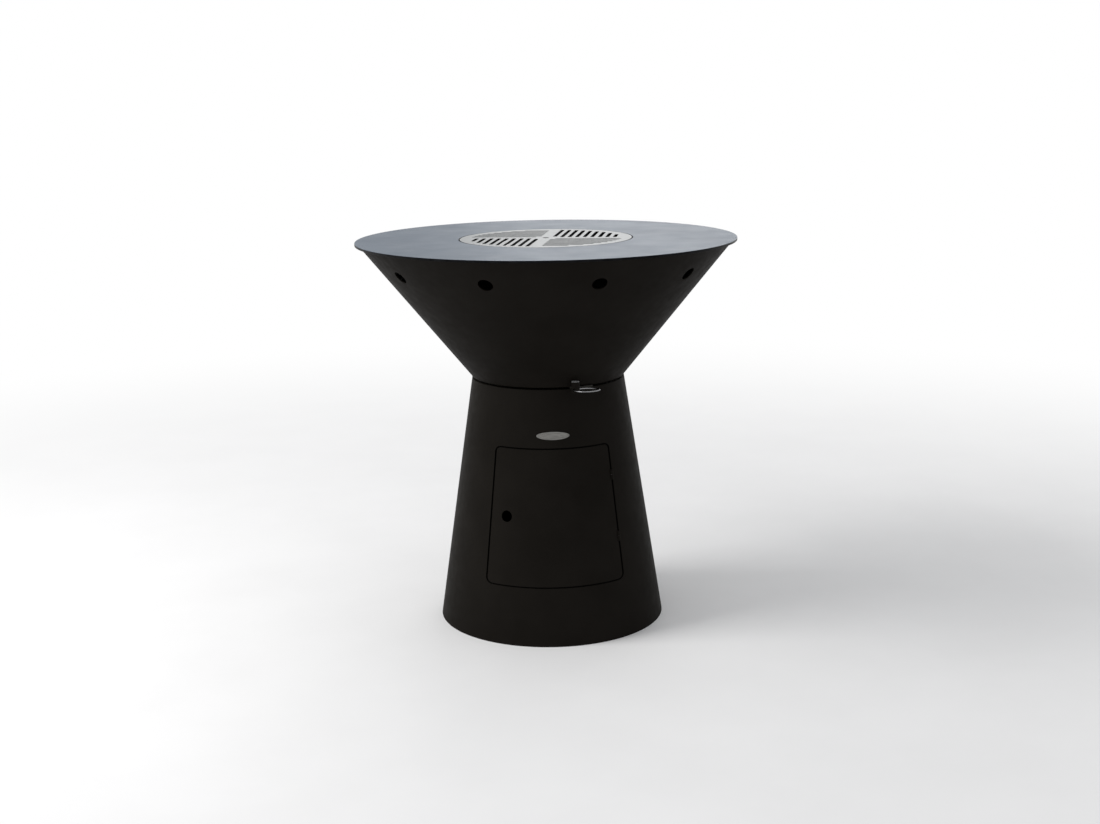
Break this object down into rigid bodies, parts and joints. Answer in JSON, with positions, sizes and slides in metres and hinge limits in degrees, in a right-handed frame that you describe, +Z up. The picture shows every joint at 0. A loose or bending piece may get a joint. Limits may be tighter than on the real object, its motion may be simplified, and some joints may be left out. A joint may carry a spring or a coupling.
{
  "type": "plancha brazier grill",
  "caption": "Round plancha grill: flat steel ring plate with a slotted grate on a conical fire bowl, on a conical pedestal with a curved door and an ash damper.",
  "frame": {"origin": "on the ground, on the common axis of bowl and pedestal", "axes": "+Z up; the door faces -Y; +X is to the right when facing the door, on the side of its hinges"},
  "size_m": [0.9999, 1, 1.024],
  "materials": {
    "black_coat": "satin black powder coat",
    "plancha_steel": "satin bluish grey rolled steel",
    "stainless": "brushed stainless",
    "raw_steel": "bare mild steel, smoke darkened",
    "cast_iron": "rough casting",
    "zinc_plate": "bright zinc",
    "nickel": "polished nickel plating"
  },
  "bodies": {
    "stand": {"fire_bowl": "black_coat", "bowl_rim_flange": "black_coat", "bowl_floor": "black_coat", "pivot_bolt": "zinc_plate", "pivot_washer": "zinc_plate", "pivot_spring": "raw_steel", "pivot_nut": "zinc_plate", "bowl_spacers": "black_coat", "bowl_bolts": "zinc_plate", "bowl_washers": "zinc_plate", "bowl_nuts": "zinc_plate", "pedestal_shell": "black_coat", "pedestal_top_ring": "black_coat", "pedestal_base_ring": "black_coat", "cabinet_shelf": "black_coat", "shelf_brackets": "black_coat", "door_frame": "black_coat", "oval_plate": "stainless", "frame_hinge_knuckles": "black_coat", "hinge_pins": "zinc_plate", "magnet_brackets": "raw_steel", "door_magnets": "nickel"},
    "plancha": {"plancha_plate": "plancha_steel", "grate_rests": "raw_steel", "plate_locators": "raw_steel"},
    "grill": {"grill_grate": "stainless"},
    "embers": {"ember_grate": "cast_iron"},
    "damper": {"damper_disc": "black_coat", "damper_post": "black_coat", "damper_ring": "stainless"},
    "door": {"door_panel": "black_coat", "door_hinge_knuckles": "black_coat"},
    "bin": {"ash_bin": "zinc_plate", "bin_ears": "zinc_plate"},
    "bail": {"bin_handle": "zinc_plate"}
  },
  "joints": [
    {"name": "door_hinge", "type": "hinge", "parent": "stand", "child": "door", "pos_m": [0.16074, -0.19221, 0.3445], "axis": [-0.0965, 0.1154, 0.9886], "range_deg": [0, 110]},
    {"name": "damper_swing", "type": "hinge", "parent": "stand", "child": "damper", "pos_m": [0, 0, 0.66], "axis": [0, 0, -1], "range_deg": [0, 22.5]},
    {"name": "plancha_lift", "type": "slide", "parent": "stand", "child": "plancha", "axis": [0, 0, 1], "range_m": [0, 0.15]},
    {"name": "grill_lift", "type": "slide", "parent": "plancha", "child": "grill", "axis": [0, 0, 1], "range_m": [0, 0.25]},
    {"name": "ember_lift", "type": "slide", "parent": "stand", "child": "embers", "axis": [0, 0, 1], "range_m": [0, 0.25]},
    {"name": "bin_lift", "type": "slide", "parent": "stand", "child": "bin", "axis": [0, 0, 1], "range_m": [0, 0.08]},
    {"name": "bail_swing", "type": "hinge", "parent": "bin", "child": "bail", "pos_m": [0, 0, 0.348], "axis": [-1, 0, 0], "range_deg": [0, 234]}
  ]
}
